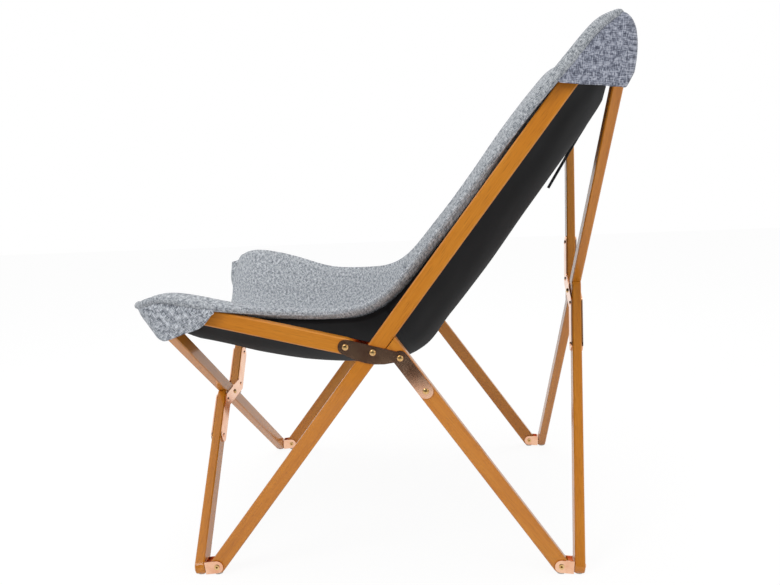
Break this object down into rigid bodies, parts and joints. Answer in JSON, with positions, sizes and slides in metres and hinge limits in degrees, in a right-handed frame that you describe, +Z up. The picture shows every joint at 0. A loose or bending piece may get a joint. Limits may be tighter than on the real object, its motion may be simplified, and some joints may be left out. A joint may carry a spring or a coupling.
{
  "type": "folding sling chair",
  "caption": "Folding butterfly chair with honey wood sticks, copper hardware and a gray padded sling lined in black.",
  "frame": {"origin": "on the floor, midway between the two side frames and between the front and rear foot pins", "axes": "+X to the side that faces the camera (near side), +Y to the rear, +Z up; the chair faces -Y"},
  "size_m": [0.769, 0.9236, 1.005],
  "materials": {
    "oiled_wood": "satin",
    "copper_metal": "polished rose gold",
    "brass": "polished",
    "glide_plastic": "matte",
    "cover_cloth": "woven melange",
    "lining_cloth": "smooth",
    "strap_webbing": "woven melange"
  },
  "bodies": {
    "rear_foot_clevis_near": {"clevis_rear_foot_near": "copper_metal", "clevis_pin_rear_foot_near": "brass"},
    "rear_foot_clevis_far": {"clevis_rear_foot_far": "copper_metal", "clevis_pin_rear_foot_far": "brass"},
    "rear_cross_broken": {"rear_cross_stick_lower": "oiled_wood", "rear_cross_stick_upper": "oiled_wood", "rear_cross_plate_rear": "copper_metal", "rear_cross_plate_front": "copper_metal", "rear_cross_crossing_rivet": "brass", "swivel_stud_rear_top_far": "copper_metal", "glide_cross_rear_near": "glide_plastic"},
    "rear_cross_whole": {"rear_cross_stick_whole": "oiled_wood", "swivel_stud_rear_top_near": "copper_metal", "glide_cross_rear_far": "glide_plastic"},
    "front_cross_whole": {"front_cross_stick_whole": "oiled_wood", "swivel_stud_front_foot_far": "copper_metal", "glide_cross_front_far": "glide_plastic"},
    "front_cross_broken": {"front_cross_stick_lower": "oiled_wood", "front_cross_stick_upper": "oiled_wood", "front_cross_plate_rear": "copper_metal", "front_cross_plate_front": "copper_metal", "front_cross_crossing_rivet": "brass", "swivel_stud_front_foot_near": "copper_metal", "swivel_stud_front_top_far": "copper_metal", "glide_cross_front_near": "glide_plastic"},
    "sling": {"sling_cover": "cover_cloth", "sling_lining": "lining_cloth", "sling_strap": "strap_webbing"},
    "leg_near": {"rear_leg_near": "oiled_wood", "side_plate_outer_near": "copper_metal", "side_plate_inner_near": "copper_metal", "long_pivot_rivet_near": "brass", "rail_pivot_rivet_near": "brass", "glide_side_rear_near": "glide_plastic"},
    "long_near": {"long_stick_near": "oiled_wood", "glide_side_front_near": "glide_plastic"},
    "rail_near": {"front_rail_near": "oiled_wood"},
    "rear_top_clevis_near": {"clevis_rear_top_near": "copper_metal", "clevis_pin_rear_top_near": "brass"},
    "front_foot_clevis_near": {"clevis_front_foot_near": "copper_metal", "clevis_pin_front_foot_near": "brass"},
    "front_top_clevis_near": {"clevis_front_top_near": "copper_metal", "clevis_pin_front_top_near": "brass"},
    "leg_far": {"rear_leg_far": "oiled_wood", "side_plate_outer_far": "copper_metal", "side_plate_inner_far": "copper_metal", "long_pivot_rivet_far": "brass", "rail_pivot_rivet_far": "brass", "glide_side_rear_far": "glide_plastic"},
    "long_far": {"long_stick_far": "oiled_wood", "glide_side_front_far": "glide_plastic"},
    "rail_far": {"front_rail_far": "oiled_wood"},
    "rear_top_clevis_far": {"clevis_rear_top_far": "copper_metal", "clevis_pin_rear_top_far": "brass"},
    "front_foot_clevis_far": {"clevis_front_foot_far": "copper_metal", "clevis_pin_front_foot_far": "brass"},
    "front_top_clevis_far": {"clevis_front_top_far": "copper_metal", "clevis_pin_front_top_far": "brass"}
  },
  "joints": [
    {"name": "rear_foot_swivel_near", "type": "hinge", "parent": "rear_foot_clevis_near", "child": "rear_cross_broken", "pos_m": [0.361, 0.35736, 0.01349], "axis": [0, 0.9959, -0.0899], "range_deg": [0, 32.07]},
    {"name": "rear_crossing", "type": "hinge", "parent": "rear_cross_broken", "child": "rear_cross_whole", "pos_m": [0, 0.39882, 0.47259], "axis": [0, -0.9959, 0.0899], "range_deg": [0, 64.14]},
    {"name": "rear_foot_swivel_far", "type": "hinge", "parent": "rear_cross_whole", "child": "rear_foot_clevis_far", "pos_m": [-0.361, 0.35736, 0.01349], "axis": [0, 0.9959, -0.0899], "range_deg": [0, 32.07]},
    {"name": "rear_foot_pin_near", "type": "hinge", "parent": "rear_foot_clevis_near", "child": "leg_near", "pos_m": [0.361, 0.324, 0.0165], "axis": [-1, 0, 0], "range_deg": [0, 36.39]},
    {"name": "fold_near", "type": "hinge", "parent": "leg_near", "child": "long_near", "pos_m": [0.361, -0.00689, 0.42682], "axis": [1, 0, 0], "range_deg": [0, 64.44], "deforming": ["sling_cover", "sling_lining", "sling_strap"]},
    {"name": "rail_pivot_near", "type": "hinge", "parent": "leg_near", "child": "rail_near", "pos_m": [0.361, -0.05622, 0.43812], "axis": [-1, 0, 0], "range_deg": [0, 34.7]},
    {"name": "rear_top_pin_near", "type": "hinge", "parent": "long_near", "child": "rear_top_clevis_near", "pos_m": [0.361, 0.387, 0.9365], "axis": [-1, 0, 0], "range_deg": [0, 28.06]},
    {"name": "front_foot_pin_near", "type": "hinge", "parent": "long_near", "child": "front_foot_clevis_near", "pos_m": [0.361, -0.324, 0.0165], "axis": [-1, 0, 0], "range_deg": [0, 35.09]},
    {"name": "front_top_pin_near", "type": "hinge", "parent": "rail_near", "child": "front_top_clevis_near", "pos_m": [0.361, -0.36745, 0.51249], "axis": [1, 0, 0], "range_deg": [0, 64.05]},
    {"name": "rear_foot_pin_far", "type": "hinge", "parent": "rear_foot_clevis_far", "child": "leg_far", "pos_m": [-0.361, 0.324, 0.0165], "axis": [-1, 0, 0], "range_deg": [0, 36.39]},
    {"name": "fold_far", "type": "hinge", "parent": "leg_far", "child": "long_far", "pos_m": [-0.361, -0.00689, 0.42682], "axis": [1, 0, 0], "range_deg": [0, 64.44]},
    {"name": "rail_pivot_far", "type": "hinge", "parent": "leg_far", "child": "rail_far", "pos_m": [-0.361, -0.05622, 0.43812], "axis": [-1, 0, 0], "range_deg": [0, 34.7]},
    {"name": "rear_top_pin_far", "type": "hinge", "parent": "long_far", "child": "rear_top_clevis_far", "pos_m": [-0.361, 0.387, 0.9365], "axis": [-1, 0, 0], "range_deg": [0, 28.06]},
    {"name": "front_foot_pin_far", "type": "hinge", "parent": "long_far", "child": "front_foot_clevis_far", "pos_m": [-0.361, -0.324, 0.0165], "axis": [-1, 0, 0], "range_deg": [0, 35.09]},
    {"name": "front_top_pin_far", "type": "hinge", "parent": "rail_far", "child": "front_top_clevis_far", "pos_m": [-0.361, -0.36745, 0.51249], "axis": [1, 0, 0], "range_deg": [0, 64.05]},
    {"name": "front_top_swivel_near", "type": "hinge", "parent": "front_top_clevis_near", "child": "front_cross_whole", "pos_m": [0.361, -0.4107, 0.50783], "axis": [0, -0.9942, -0.1073], "range_deg": [0, 47.4]},
    {"name": "front_crossing", "type": "hinge", "parent": "front_cross_whole", "child": "front_cross_broken", "pos_m": [0, -0.384, 0.26037], "axis": [0, 0.9942, 0.1073], "range_deg": [0, 94.79]},
    {"name": "sling_lift", "type": "slide", "parent": "long_near", "child": "sling", "axis": [0, 0, 1], "range_m": [0, 0.12]}
  ],
  "couplings": [
    {"joint": "rear_foot_swivel_near", "follows": "fold_near", "ratio": 0.49761},
    {"joint": "rear_crossing", "follows": "fold_near", "ratio": 0.99523},
    {"joint": "rear_foot_swivel_far", "follows": "fold_near", "ratio": 0.49761},
    {"joint": "rear_foot_pin_near", "follows": "fold_near", "ratio": 0.56456},
    {"joint": "rail_pivot_near", "follows": "fold_near", "ratio": 0.53836},
    {"joint": "rear_top_pin_near", "follows": "fold_near", "ratio": 0.43544},
    {"joint": "front_foot_pin_near", "follows": "fold_near", "ratio": 0.54452},
    {"joint": "front_top_pin_near", "follows": "fold_near", "ratio": 0.99384},
    {"joint": "rear_foot_pin_far", "follows": "fold_near", "ratio": 0.56456},
    {"joint": "fold_far", "follows": "fold_near", "ratio": 1},
    {"joint": "rail_pivot_far", "follows": "fold_near", "ratio": 0.53836},
    {"joint": "rear_top_pin_far", "follows": "fold_near", "ratio": 0.43544},
    {"joint": "front_foot_pin_far", "follows": "fold_near", "ratio": 0.54452},
    {"joint": "front_top_pin_far", "follows": "fold_near", "ratio": 0.99384},
    {"joint": "front_top_swivel_near", "follows": "fold_near", "ratio": 0.73545},
    {"joint": "front_crossing", "follows": "fold_near", "ratio": 1.4709}
  ]
}
